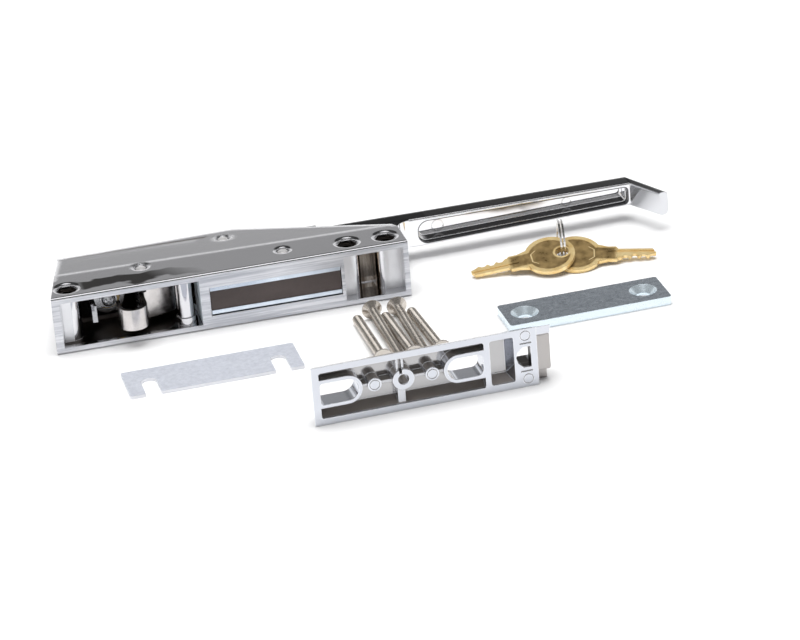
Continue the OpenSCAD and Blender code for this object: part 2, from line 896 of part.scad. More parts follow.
module catch_spring() {
  steps = 8;
  n = steps * spring_turns;
  r = spring_radius;
  half = spring_turns * spring_pitch / 2;
  reach = back_y(catch_pin_x) - back_wall - catch_pin_y - 0.3;
  coil = [for (i = [0:n])
    let (a = 180 + 360 * i / steps) [r * cos(a), r * sin(a), half - spring_pitch * i / steps]];
  sides = [for (i = [0:n]) let (a = 180 + 360 * i / steps) [cos(a), sin(a), 0]];
  echo(spring_gap = least_gap(coil, steps, spring_wire));
  color("darkgray")
    in_frame()
      translate([catch_pin_x, catch_pin_y, mid])
        tube(concat([[-r, reach, half]], coil, [[-r, -4.2, -half]]),
            concat([[-1, 0, 0]], sides, [[-1, 0, 0]]), spring_wire / 2, 6);
}

// Magnet pack

module magnet() {
  top = mid - 0.25 + magnet_pocket_height / 2 - pole_plate;
  color("dimgray")
    in_frame()
      translate([magnet_pocket_start + magnet_end_gap, magnet_set_back, top - magnet_thickness])
        cube([magnet_pocket_length - 2 * magnet_end_gap, magnet_depth, magnet_thickness]);
}

module pole_plate_at(z) {
  in_frame()
    difference() {
      translate([magnet_pocket_start + magnet_end_gap, plate_set_back, z])
        cube([magnet_pocket_length - 2 * magnet_end_gap, magnet_pocket_depth - plate_set_back,
            pole_plate]);
      translate([magnet_pin_x, magnet_pin_y, z - 1])
        cylinder(r = pin_r + pin_seat, h = pole_plate + 2);
    }
}

module upper_pole_plate() {
  color("lightsteelblue")
    pole_plate_at(mid - 0.25 + magnet_pocket_height / 2 - pole_plate);
}

module lower_pole_plate() {
  color("lightsteelblue")
    pole_plate_at(mid - 0.25 + magnet_pocket_height / 2 - 2 * pole_plate - magnet_thickness);
}

// Lock: drawn with its axis along Z, the key side up

barrel_front = flange_seat + flange_thickness - barrel_length;
plug_top = barrel_length - 0.2;

module on_lock_axis() {
  in_frame()
    translate([lock_x, barrel_front, mid])
      rotate([-90, 0, 0])
        children();
}

module lock_barrel() {
  clip_z = clip_front() - barrel_front;
  color("silver")
    on_lock_axis()
      difference() {
        union() {
          cylinder(d = barrel_diameter, h = barrel_length);
          translate([0, 0, barrel_length - flange_thickness])
            cylinder(d = flange_diameter, h = flange_thickness);
        }
        translate([0, 0, -1])
          cylinder(r = plug_diameter / 2 + plug_play, h = barrel_length + 2);
        for (side = [-1, 1])
          translate([side * (barrel_diameter / 2 - clip_groove / 2 + 2.5), 0,
              clip_z + clip_thickness / 2 - 0.05])
            cube([clip_groove + 5, 20, clip_thickness + 0.1], center = true);
      }
}

module lock_plug() {
  color("goldenrod")
    on_lock_axis()
      difference() {
        union() {
          cylinder(d = plug_diameter, h = plug_top);
          translate([-drive_square / 2, -drive_square / 2, -cam_gap - cam_thickness])
            cube([drive_square, drive_square, cam_gap + cam_thickness + 1]);
          translate([0, 0, -cam_gap])
            cylinder(d = 9, h = cam_gap + 1);
        }
        translate([-keyway_width / 2, -keyway_height / 2, plug_top - keyway_depth])
          cube([keyway_width, keyway_height, keyway_depth + 1]);
        translate([0, 0, -cam_gap - cam_thickness - washer_thickness])
          cylinder(d = cam_screw_diameter + 2 * lock_fit, h = cam_screw_length + 0.5);
      }
}

module lock_cam() {
  z = -cam_gap - cam_thickness;
  depth = barrel_front - cam_gap - cam_flange_front;
  hole = drive_square + 2 * lock_fit;
  color("gainsboro")
    on_lock_axis()
      difference() {
        union() {
          translate([-cam_reach + 1, -cam_width / 2, z])
            cube([cam_reach - 1, cam_width, cam_thickness]);
          translate([0, 0, z])
            cylinder(d = cam_width, h = cam_thickness);
          translate([-cam_reach, -cam_flange_height / 2, -depth - cam_gap])
            cube([cam_flange, cam_flange_height, depth]);
        }
        translate([-hole / 2, -hole / 2, z - 1])
          cube([hole, hole, cam_thickness + 2]);
        translate([-cam_reach - 1, -cam_flange_height / 2, -depth - cam_gap])
          rotate([45, 0, 0])
            cube([cam_flange + 2, 3.4, 3.4], center = true);
      }
}

module cam_washer() {
  color("silver")
    on_lock_axis()
      translate([0, 0, -cam_gap - cam_thickness - washer_thickness])
        difference() {
          cylinder(d = washer_diameter, h = washer_thickness);
          translate([0, 0, -1])
            cylinder(d = cam_screw_diameter + 2 * lock_fit, h = 3);
        }
}

module cam_screw() {
  z = -cam_gap - cam_thickness - washer_thickness;
  r = cam_screw_head / 2;
  h = cam_screw_head_height;
  color("silver")
    on_lock_axis()
      difference() {
        union() {
          translate([0, 0, z])
            cylinder(d = cam_screw_diameter, h = cam_screw_length);
          translate([0, 0, z - h])
            rotate_extrude()
              polygon([[0, 0], [r * 0.55, 0.12], [r * 0.85, 0.5], [r, 1.1], [r, h], [0, h]]);
        }
        for (a = [45, 135])
          rotate([0, 0, a])
            translate([-r * 0.6, -0.5, z - h - 1])
              cube([r * 1.2, 1, 2.2]);
      }
}

module lock_clip() {
  half = clip_size / 2;
  tall = clip_height / 2;
  y = clip_front();
  inner = barrel_diameter - 2 * clip_groove + 2 * lock_fit;
  color("darkgray")
    in_frame()
      translate([lock_x, 0, mid])
        along_y(y, y + clip_thickness)
          difference() {
            round_rect(-half, -tall, half, tall, 1);
            translate([-inner / 2, -tall - 1])
              square([inner, tall + 1]);
            intersection() {
              circle(d = barrel_diameter + 2 * lock_fit);
              square([inner, 40], center = true);
            }
          }
}

// Strike: x along it, y through its thickness, the ribbed back at y = 0

module on_strike() {
  in_frame()
    translate([strike_x, -strike_y, 0])
      rotate([0, 0, strike_turn])
        children();
}

module strike_sides(inset, front) {
  slope = strike_side_draft / strike_thickness;
  drop = front * slope;
  t = strike_thickness;
  d = strike_side_draft;
  w = strike_width;
  translate([-5, 0, 0])
    rotate([90, 0, 90])
      linear_extrude(strike_length + 10)
        polygon([[-front, inset - drop], [t, inset + d], [t, w - inset - d],
            [-front, w - inset + drop]]);
}

module strike_inside() {
  strike_sides(strike_rim - 0.2, 1);
}

module strike_pockets() {
  top = strike_width - strike_rim + 0.2;
  low = strike_rim - 0.2;
  w = strike_slot_wall;
  z = strike_slot_z;
  r = strike_slot / 2;
  difference() {
    round_rect(strike_rim, low, strike_length - 24.4, top, 1.2);
    translate([first_slot_end - r, z])
      circle(r + w);
    translate([0, z - r - w])
      square([first_slot_end - r, 2 * (r + w)]);
    translate([second_slot_start + r, z])
      circle(r + w);
    translate([second_slot_start + r, z - r - w])
      square([20, 2 * (r + w)]);
    translate([strike_boss_x, z])
      circle(strike_boss_radius);
    for (side = [-1, 1])
      translate([strike_boss_x + side * small_boss_pitch, z])
        circle(small_boss_radius);
  }
}

module strike_end_pocket() {
  e = strike_length;
  intersection() {
    along_y(-1, strike_pocket)
      round_rect(e - 21.8, strike_rim + 0.2, e - 10.7, strike_width - strike_rim + 0.2, 1.2);
    strike_inside();
    between(0, strike_width)
      polygon([[e - 30, -2], [e - 10.4, -2], [e - 10.7, 0], [e - 13.4, strike_pocket],
          [e - 13.4, 20], [e - 30, 20]]);
  }
}

module strike_slots() {
  z = strike_slot_z;
  r = strike_slot / 2;
  hull() {
    translate([first_slot_end - r, z])
      circle(r);
    round_rect(3.6, z - r, 12, z + r, 1.5);
  }
  hull() {
    translate([second_slot_start + r, z])
      circle(r);
    round_rect(70, z - r, second_slot_end, z + r, 3);
  }
}

module keeper_block() {
  x0 = strike_length - 11;
  x1 = strike_length + keeper_overhang;
  low = mid - keeper_height / 2;
  high = mid + keeper_height / 2;
  intersection() {
    translate([x0, keeper_front, low])
      cube([x1 - x0, keeper_depth - keeper_front, keeper_height]);
    along_y(0, 40)
      polygon([[x0 - 1, low - 1], [x1 - 0.8, low - 1], [x1, low + 0.8], [x1, high - 0.8],
          [x1 - 0.8, high + 1], [x0 - 1, high + 1]]);
    translate([-10, 0, 0])
      rotate([90, 0, 90])
        linear_extrude(200)
          polygon([[0, low], [keeper_depth - 6, low], [keeper_depth + small, low + keeper_slope],
              [keeper_depth + small, high - keeper_slope], [keeper_depth - 6, high], [0, high]]);
  }
}

module keeper_tab() {
  high = mid + keeper_height / 2;
  top = strike_width - 0.3;
  translate([strike_length - 3, 0, 0])
    rotate([90, 0, 90])
      linear_extrude(keeper_overhang + 2.8)
        polygon([[0.3, high + 1.4], [0.3, top], [keeper_depth - 6, high + 0.4],
            [keeper_depth - 6, high - 1], [keeper_front + 0.6, high - 1]]);
}

module keeper_foot() {
  low = mid - keeper_height / 2;
  translate([strike_length - 4, keeper_front + 3, small])
    cube([keeper_overhang + 2.8, 2.6, low + 1]);
}

module strike() {
  d = strike_draft;
  t = strike_thickness;
  color("lightsteelblue")
    on_strike()
      difference() {
        union() {
          intersection() {
            between(0, strike_width)
              polygon([[0, 0], [strike_length, 0], [strike_length, t], [d, t]]);
            strike_sides(0, 0);
          }
          keeper_block();
          keeper_tab();
          keeper_foot();
        }
        difference() {
          intersection() {
            along_y(-1, strike_pocket)
              strike_pockets();
            strike_inside();
          }
          translate([18, 1.4, strike_slot_z - 0.7])
            cube([46, t, 1.4]);
          translate([38.6, 1.2, 0])
            cube([3.4, t, strike_width]);
        }
        strike_end_pocket();
        translate([39.6, -1, 18])
          cube([1.4, 4, strike_width - strike_rim - 17.8]);
        along_y(-1, 40)
          strike_slots();
        translate([strike_boss_x, 40, strike_slot_z])
          rotate([90, 0, 0])
            cylinder(d = strike_boss_hole, h = 50);
        along_y(-1, 40)
          translate([strike_length, 0])
            polygon([[-3, 9.7], [-3, 19.7], [-6.6, 19.7], [-9.1, 17.6], [-9.9, 14.9],
                [-9.1, 12], [-6.6, 9.7]]);
        translate([strike_length - 10, 5, mid - keeper_hollow / 2])
          cube([11.5, 40, keeper_hollow]);
        for (z = [7.6, 21.2])
          translate([strike_length - 8, -0.1, z])
            cube([5.4, 0.6, 0.6]);
        for (spot = [[strike_boss_x - small_boss_pitch - strike_length, strike_slot_z],
            [strike_boss_x + small_boss_pitch - strike_length, strike_slot_z],
            [-5.2, 25.2], [-4.8, 4]])
          translate([strike_length + spot[0], 0.3, spot[1]])
            rotate([90, 0, 0])
              difference() {
                cylinder(r = 2.4, h = 1);
                translate([0, 0, -1])
                  cylinder(r = 2.1, h = 3);
              }
      }
}

// Loose plates

module armature_plate() {
  edge = (armature_length - armature_pitch) / 2;
  color("slategray")
    in_frame()
      translate([plate_x, -plate_y, 0])
        rotate([0, 0, plate_turn])
          difference() {
            between(0, armature_thickness)
              round_rect(0, 0, armature_length, armature_width, 1.5);
            for (x = [edge, edge + armature_pitch])
              translate([x, armature_width / 2, -1]) {
                cylinder(d = armature_hole, h = armature_thickness + 2);
                translate([0, 0, armature_thickness + 1 - (armature_sink - armature_hole) / 2])
                  cylinder(d1 = armature_hole, d2 = armature_sink + small,
                      h = (armature_sink - armature_hole) / 2 + small);
              }
          }
}

module shim() {
  color("lightgray")
    in_frame()
      translate([shim_x, -shim_y, 0])
        rotate([0, 0, shim_turn])
          difference() {
            between(0, shim_thickness)
              round_rect(0, 0, shim_length, shim_width, 1);
            for (x = [10.7, 10.7 + shim_pitch])
              translate([x, shim_notch_depth - shim_notch / 2, -1]) {
                cylinder(d = shim_notch, h = 4);
                translate([-shim_notch / 2, -30, 0])
                  cube([shim_notch, 30, 4]);
              }
          }
}

// Screws: each lies on the rim of its head and on its tip

module screw() {
  r = screw_diameter / 2;
  d = screw_head / 2;
  h = screw_head_height;
  difference() {
    rotate_extrude()
      polygon([[0, 0], [d - 0.2, 0], [d, 0.25], [d, 0.5], [r, h], [r, screw_length - 1],
          [r - 0.7, screw_length], [0, screw_length]]);
    for (a = [0, 90])
      rotate([0, 0, a])
        translate([-2.4, -0.6, -1])
          cube([4.8, 1.2, 3]);
  }
}

module lying_screw(x, y, yaw) {
  drop = asin((screw_head - screw_diameter) / 2 / (screw_length - 1.5));
  translate([x, y, screw_head / 2 * cos(drop)])
    rotate([0, 0, yaw])
      rotate([-90 - drop, 0, 0])
        translate([0, 0, -0.5])
          screw();
}

module mounting_screws() {
  color("silver")
    in_frame() {
      lying_screw(screws_x, -screws_far, 1.3);
      lying_screw(screws_x + screws_pitch + 0.2, -screws_near, 182.4);
      lying_screw(screws_x + 2 * screws_pitch + 1.2, -screws_far - 1.7, 2.6);
      lying_screw(screws_x + 3 * screws_pitch - 1.1, -screws_near - 0.7, 182.1);
      lying_screw(screws_x + 4 * screws_pitch + 1.1, -screws_far - 1.3, 3.1);
    }
}

// Keys: the hanging hole at the origin, the blade along x

module key() {
  bow = key_bow / 2;
  s = key_shoulder / 2;
  b = key_blade / 2;
  t = key_thickness;
  x = key_hole_offset + bow;
  difference() {
    union() {
      between(-t / 2, t / 2) {
        translate([key_hole_offset, 0])
          circle(bow);
        polygon([[x - 1.4, -s - 1.4], [x + 3, -s], [x + 7, -s], [x + 8, -b], [27, -b],
            [28.6, -b + 1.6], [30.2, -b + 1.6], [31.4, -b + 0.7], [33, -b + 2.4],
            [34.4, -b + 2.4], [35.8, -b + 1], [37.2, -b + 2.1], [38.6, -b + 2.1],
            [40, -b + 1.2], [key_reach - 2, -b + 2.4], [key_reach, -0.4], [key_reach, 0.4],
            [key_reach - 1.6, b - 0.5], [x + 8, b - 0.5], [x + 7, s], [x + 3, s],
            [x - 1.4, s + 1.4]]);
      }
      between(-key_rim_thickness / 2, key_rim_thickness / 2)
        translate([key_hole_offset, 0])
          difference() {
            circle(bow);
            circle(bow - key_rim);
          }
      cylinder(d = key_hole + 2 * key_hole_rim, h = key_rim_thickness, center = true);
    }
    translate([0, 0, -5])
      cylinder(d = key_hole, h = 10);
    translate([x + 3, 0.6, t / 2 - 0.5])
      cube([key_reach, 1.1, 2]);
    translate([x + 3, -1.7, -t / 2 - 1.5])
      cube([key_reach, 1.1, 2]);
  }
}

module key_1() {
  color("goldenrod")
    in_frame()
      translate([keys_x, keys_y, keys_z])
        rotate([0, 0, 174.3])
          rotate([0, 6, 0])
            rotate([-17, 0, 0])
              key();
}

module key_2() {
  color("goldenrod")
    in_frame()
      translate([keys_x + 1.1, keys_y + 1.9, keys_z - key_thickness - 0.3])
        rotate([0, 0, -14.3])
          rotate([0, 3, 0])
            rotate([17, 0, 0])
              key();
}

module key_ring() {
  steps = 24;
  n = 2 * steps - 2;
  r = ring_radius;
  pitch = ring_wire + 0.45;
  path = [for (i = [0:n])
    [r * cos(360 * i / steps), r * sin(360 * i / steps), pitch * i / steps]];
  side = [for (i = [0:n]) [cos(360 * i / steps), sin(360 * i / steps), 0]];
  echo(ring_gap = least_gap(path, steps, ring_wire));
  color("silver")
    in_frame()
      translate([keys_x + 2.05, keys_y + 8.5, keys_z + 3.35])
        rotate([0, 0, -11.2])
          rotate([0, 90, 0])
            translate([0, 0, -pitch])
              tube(path, side, ring_wire / 2, 6);
}

housing();
handle();
handle_pin();
latch_catch();
catch_pin();
catch_spring();
magnet();
upper_pole_plate();
lower_pole_plate();
magnet_pin();
lock_barrel();
lock_plug();
lock_cam();
cam_washer();
cam_screw();
lock_clip();
strike();
armature_plate();
shim();
mounting_screws();
key_1();
key_2();
key_ring();
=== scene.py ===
import math

import bmesh
import bpy
from mathutils import Matrix, Vector


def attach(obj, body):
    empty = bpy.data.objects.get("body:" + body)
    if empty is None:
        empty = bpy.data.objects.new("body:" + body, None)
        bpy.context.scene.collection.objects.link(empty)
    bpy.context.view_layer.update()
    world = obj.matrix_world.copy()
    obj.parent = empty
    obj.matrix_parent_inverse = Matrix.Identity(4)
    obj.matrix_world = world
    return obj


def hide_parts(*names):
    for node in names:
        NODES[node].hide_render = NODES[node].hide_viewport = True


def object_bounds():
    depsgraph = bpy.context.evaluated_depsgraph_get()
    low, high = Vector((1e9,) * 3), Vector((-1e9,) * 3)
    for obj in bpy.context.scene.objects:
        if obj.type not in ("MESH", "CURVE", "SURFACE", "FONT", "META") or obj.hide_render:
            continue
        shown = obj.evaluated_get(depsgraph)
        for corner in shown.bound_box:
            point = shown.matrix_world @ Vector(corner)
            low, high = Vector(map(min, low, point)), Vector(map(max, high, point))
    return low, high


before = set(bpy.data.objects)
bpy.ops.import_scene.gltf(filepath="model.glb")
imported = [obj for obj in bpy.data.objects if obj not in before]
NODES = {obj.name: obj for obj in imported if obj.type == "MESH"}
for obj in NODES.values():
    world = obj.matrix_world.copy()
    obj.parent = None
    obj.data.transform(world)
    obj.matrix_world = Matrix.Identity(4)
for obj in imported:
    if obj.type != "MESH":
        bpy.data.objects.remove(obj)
CAD_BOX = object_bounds()
MM = 0.001

# Places equal to those in part.scad. The frame's origin is the axis of the end screw hole.
# CORNER is the housing's end and front at mid height, STRIKE the strike's front lower corner and
# GRIP the start of the handle's hollow. KEYS holds each key's hole, in millimetres, and its turns.
HOLE_X, HOLE_Y, MID = 8.9 * MM, 9.8 * MM, 14.3 * MM
HOLES = (0.0, 132.8 * MM, 151.1 * MM)
KEYS = (("key_1", (234.7, -4.8, 6.9), (174.3, 6, -17)), ("key_2", (235.8, -2.9, 4.9), (-14.3, 3, 17)))
CORNER = (-HOLE_X, -HOLE_Y, MID)
STRIKE = (88.5 * MM, -125.0 * MM, 0.0)
ALONG_STRIKE = (0.99933, 0.03664, 0.0)
BEHIND_STRIKE = (-0.03664, 0.99933, 0.0)
SLOT_UP = 0.8 * MM
GRIP = (173.2 * MM, 28.14 * MM, 14.0 * MM)
ALONG_GRIP = (0.99920, 0.03997, 0.0)
RIGHT, BACK, UP = (1.0, 0.0, 0.0), (0.0, 1.0, 0.0), (0.0, 0.0, 1.0)


def add_object(name, data):
    made = bpy.data.objects.new(name, data)
    bpy.context.scene.collection.objects.link(made)
    return made


# Camera: the photo's own station point, direction and lens, in the frame's metres

CAMERA_PLACE = (-0.1482, -1.5217, 0.7230)
CAMERA_LOOK = (0.1764, 0.8854, -0.4300)
CAMERA_LEVEL = (0.98072, -0.19543, 0.0)
CAMERA_ROLL = -4.71
SENSOR_WIDTH = 36.0
FOCAL_LENGTH = 163.24


def add_camera():
    data = bpy.data.cameras.new("camera")
    data.sensor_width = SENSOR_WIDTH
    data.lens = FOCAL_LENGTH
    data.clip_start = 0.05
    data.clip_end = 50.0
    data.dof.use_dof = False
    cam = add_object("camera", data)
    roll = math.radians(CAMERA_ROLL)
    forward = Vector(CAMERA_LOOK).normalized()
    level = Vector(CAMERA_LEVEL).normalized()
    over = level.cross(forward).normalized()
    right = math.cos(roll) * level + math.sin(roll) * over
    up = right.cross(forward).normalized()
    rows = Matrix((right, up, -forward)).transposed().to_4x4()
    cam.matrix_world = Matrix.Translation(CAMERA_PLACE) @ rows
    bpy.context.scene.camera = cam


# Node helpers

class Shader:
    """A material's node tree with one principled surface, in object coordinates."""

    # By data type, a mix node's first value socket and its result socket
    MIXES = {"FLOAT": (2, 0), "VECTOR": (4, 1), "RGBA": (6, 2)}

    def __init__(self, name):
        self.material = bpy.data.materials.new(name)
        self.material.use_nodes = True
        self.tree = self.material.node_tree
        self.tree.nodes.clear()
        self.out = self.node("ShaderNodeOutputMaterial")
        self.surface = self.node("ShaderNodeBsdfPrincipled")
        self.link(self.surface.outputs["BSDF"], self.out.inputs["Surface"])
        self.coords = self.node("ShaderNodeTexCoord").outputs["Object"]

    def node(self, kind, **settings):
        made = self.tree.nodes.new(kind)
        for key, value in settings.items():
            setattr(made, key, value)
        return made

    def link(self, a, b):
        self.tree.links.new(a, b)

    def put(self, value, socket):
        """Links a socket, or sets a plain value on it."""
        if isinstance(value, bpy.types.NodeSocket):
            self.link(value, socket)
        else:
            socket.default_value = value

    def noise(self, scale, detail=3.0, stretch=(1, 1, 1), rough=0.5):
        mapping = self.node("ShaderNodeMapping")
        self.link(self.coords, mapping.inputs["Vector"])
        mapping.inputs["Scale"].default_value = stretch
        made = self.node("ShaderNodeTexNoise")
        self.link(mapping.outputs["Vector"], made.inputs["Vector"])
        made.inputs["Scale"].default_value = scale
        made.inputs["Detail"].default_value = detail
        made.inputs["Roughness"].default_value = rough
        return made.outputs["Fac"]

    def maths(self, kind, a, b=0.0):
        made = self.node("ShaderNodeMath", operation=kind)
        self.put(a, made.inputs[0])
        self.put(b, made.inputs[1])
        return made.outputs["Value"]

    def vector_maths(self, kind, a, b, result="Value"):
        made = self.node("ShaderNodeVectorMath", operation=kind)
        self.put(a, made.inputs[0])
        self.put(b, made.inputs[1])
        return made.outputs[result]

    def size(self, value):
        return self.maths("ABSOLUTE", value)

    def inverse(self, mask):
        return self.maths("SUBTRACT", 1.0, mask)

    def both(self, *masks):
        made = masks[0]
        for mask in masks[1:]:
            made = self.maths("MULTIPLY", made, mask)
        return made

    def either(self, a, b):
        return self.maths("MAXIMUM", a, b)

    def spread(self, value, low, high, out_low=0.0, out_high=1.0):
        """Maps low to high onto out_low to out_high, and holds the ends."""
        made = self.node("ShaderNodeMapRange")
        self.put(value, made.inputs["Value"])
        made.inputs["From Min"].default_value = low
        made.inputs["From Max"].default_value = high
        made.inputs["To Min"].default_value = out_low
        made.inputs["To Max"].default_value = out_high
        return made.outputs["Result"]

    def past(self, length, low, high):
        """0 up to low, rising to 1 at high, in millimetres."""
        return self.spread(length, low * MM, high * MM)

    def before(self, length, low, high):
        """1 up to low, falling to 0 at high, in millimetres."""
        return self.spread(length, low * MM, high * MM, 1.0, 0.0)

    def mixed(self, kind, factor, a, b):
        first, result = self.MIXES[kind]
        made = self.node("ShaderNodeMix", data_type=kind)
        self.put(factor, made.inputs["Factor"])
        self.put(a, made.inputs[first])
        self.put(b, made.inputs[first + 1])
        return made.outputs[result]

    def mix(self, factor, a, b):
        """Between two colours."""
        return self.mixed("RGBA", factor, a, b)

    def blend(self, factor, a, b):
        """Between two numbers."""
        return self.mixed("FLOAT", factor, a, b)

    def true_normal(self):
        return self.node("ShaderNodeNewGeometry").outputs["True Normal"]

    def lean(self, axis):
        """The face's normal along an axis, 0 to 2 for x, y and z."""
        split = self.node("ShaderNodeSeparateXYZ")
        self.link(self.true_normal(), split.inputs["Vector"])
        return split.outputs[axis]

    def facing(self, axis, sign, start=0.80, end=0.95):
        """1 where the surface looks along an axis, 0 elsewhere."""
        return self.spread(self.maths("MULTIPLY", self.lean(axis), sign), start, end)

    def along(self, direction, origin=(0, 0, 0)):
        """Distance of the shaded point from an origin along a direction."""
        moved = self.vector_maths("SUBTRACT", self.coords, origin, "Vector")
        return self.vector_maths("DOT_PRODUCT", moved, direction)

    def from_point(self, point):
        return self.vector_maths("DISTANCE", self.coords, point)

    def from_upright(self, point):
        """Distance of the shaded point from an upright axis through a point with z = 0."""
        flat = self.vector_maths("MULTIPLY", self.coords, (1.0, 1.0, 0.0), "Vector")
        return self.vector_maths("DISTANCE", flat, point)

    def edges(self, radius):
        """The normal, rounded at edges by a radius in millimetres."""
        made = self.node("ShaderNodeBevel", samples=6)
        made.inputs["Radius"].default_value = radius * MM
        return made.outputs["Normal"]

    def bump(self, height, strength, distance, normal):
        made = self.node("ShaderNodeBump")
        self.put(height, made.inputs["Height"])
        made.inputs["Strength"].default_value = strength
        made.inputs["Distance"].default_value = distance * MM
        self.link(normal, made.inputs["Normal"])
        return made.outputs["Normal"]

    def peel(self, strength, normal):
        """The slight orange peel of plating on a casting."""
        return self.bump(self.noise(420.0, 2.0), strength, 0.4, normal)

    def finish(self, color, rough, normal, metallic=1.0):
        self.put(color, self.surface.inputs["Base Color"])
        self.put(rough, self.surface.inputs["Roughness"])
        self.put(metallic, self.surface.inputs["Metallic"])
        self.link(normal, self.surface.inputs["Normal"])
        return self.material


def rgb(r, g, b):
    return (r, g, b, 1.0)


def grey(value):
    return rgb(value, value, value)


# Metals. Masks measure in millimetres along a direction, from the frame's origin or from CORNER,
# STRIKE or GRIP. Some reflections in the photo are painted as tones fixed to the surface.

def clouded(s, bright, dull):
    """A tone drifting softly between two, and the cloud that it follows."""
    cloud = s.noise(28.0, 3.0)
    return s.mix(s.spread(cloud, 0.35, 0.7), bright, dull), cloud


def inside_housing(s, x, y, height):
    """1 deep in the cavity, the handle's slot, the screw sinks and their bores, where shade is
    painted, 0 on the outside.
    """
    from_end_wall = s.along((0.978, -0.208, 0), CORNER)
    from_slant = s.maths("SUBTRACT", x, s.maths("MULTIPLY", y, 0.6))
    floor = s.both(s.facing(2, 1.0, 0.6, 0.8), s.past(y, 0.5, 3.0))
    deep = s.either(s.past(y, 9.0, 15.0), floor)
    cavity = s.both(s.before(height, 11.3, 11.5), deep, s.past(from_end_wall, 2.4, 3.0),
        s.before(y, 49.0, 49.4), s.before(from_slant, 52, 54))
    slot = s.both(s.before(height, 8.35, 8.5), s.past(y, 14, 18), s.past(x, 76, 77))
    sinks = bores = 0.0
    for hole in HOLES:
        radius = s.from_upright((hole, 0.0, 0.0))
        sinks = s.either(sinks, s.before(radius, 4.9, 5.05))
        bores = s.either(bores, s.before(radius, 2.9, 3.0))
    sinks = s.both(sinks, s.past(height, 11.3, 11.4), s.before(height, 12.1, 12.5))
    bores = s.both(bores, s.before(height, 14.0, 14.2))
    return s.either(s.either(cavity, slot), s.either(sinks, bores))


def painted_dark_reflection(s):
    """1 in the dark reflection on the upper side face near the cavity, with a wavy outline."""
    waves = s.spread(s.noise(55.0, 2.0, (1.0, 1.6, 1.0)), 0.25, 0.75, -4.5 * MM, 4.5 * MM)
    line = s.maths("ADD", s.along((0.03, 1, 0)), waves)
    return s.both(s.past(line, -5.5, -4.0), s.before(line, 3.0, 4.2),
        s.before(s.along((1, 0.6, 0)), 38, 62), s.past(s.along(RIGHT), 4, 8),
        s.facing(2, 1.0, 0.9, 0.97))


def housing_chrome(name):
    """Plated die casting: round edges, brushed front, painted dark reflection on the upper side face,
    brown far pocket, painted shade and a duller finish inside.
    """
    s = Shader(name)
    x = s.along(RIGHT, CORNER)
    y = s.along(BACK, CORNER)
    height = s.size(s.along(UP, CORNER))
    color, cloud = clouded(s, rgb(0.74, 0.74, 0.765), rgb(0.6882, 0.6882, 0.71145))
    gloss = s.spread(cloud, 0.3, 0.7, 0.05, 0.08)
    behind_front = s.past(s.along(BACK), 8.5, 10.0)
    normal = s.peel(0.03, s.mixed("VECTOR", behind_front, s.edges(0.5), s.edges(3.4)))
    # Painted dark reflection on the upper side face near the cavity
    color = s.mix(painted_dark_reflection(s), color, rgb(0.05, 0.046, 0.045))

    # The front lip, the faces set back behind it, and the wall at the cavity's end
    lip = s.both(s.facing(1, -1.0), s.before(y, 0.3, 0.5))
    panel = s.both(s.facing(1, -1.0), s.past(y, 0.5, 0.6), s.before(y, 6.4, 6.6),
        s.either(s.past(x, 70, 72), s.before(x, 9.4, 9.6)))
    wall = s.both(s.facing(0, -1.0), s.past(x, 68, 68.4), s.before(x, 69.4, 70))
    brushed = s.either(lip, s.either(panel, wall))
    metal = s.blend(lip, s.blend(panel, s.blend(wall, 1.0, 0.1), 0.6), 0.55)
    streaks = s.noise(300.0, 4.0, (0.06, 1.0, 1.8), 0.7)
    gloss = s.blend(brushed, gloss, s.spread(streaks, 0.3, 0.7, 0.32, 0.46))
    pale = s.mix(s.spread(streaks, 0.4, 0.6), rgb(0.50, 0.515, 0.56), rgb(0.79, 0.80, 0.84))
    color = s.mix(brushed, color, pale)
    color = s.mix(panel, color, rgb(0.86, 0.87, 0.90))
    color = s.mix(wall, color, rgb(0.84, 0.93, 0.99))
    normal = s.bump(s.both(streaks, brushed), 0.16, 0.3, normal)

    # The far pocket is brown, dark to pale in upright streaks
    patchy_tone = s.noise(240.0, 3.0, (1.0, 1.0, 0.08), 0.6)
    far_pocket = s.both(s.past(y, 7, 8), s.before(height, 10.5, 11), s.past(x, 142, 144),
        s.before(x, 158, 160))
    brown = s.mix(s.spread(patchy_tone, 0.42, 0.58), rgb(0.20, 0.155, 0.12), rgb(0.78, 0.71, 0.63))
    color = s.mix(far_pocket, color, brown)

    # Painted shade: near black deep in the cavity, the handle's slot, the screw sinks and their bores,
    # which are also duller
    painted_shade_inside = inside_housing(s, x, y, height)
    color = s.mix(painted_shade_inside, color, rgb(0.09, 0.078, 0.07))
    return s.finish(color, s.blend(painted_shade_inside, gloss, 0.34), normal, metal)


def barrel_chrome(name):
    s = Shader(name)
    color, cloud = clouded(s, rgb(0.3, 0.3, 0.31), rgb(0.279, 0.279, 0.2883))
    return s.finish(color, s.spread(cloud, 0.3, 0.7, 0.16, 0.256), s.peel(0.03, s.edges(0.5)))


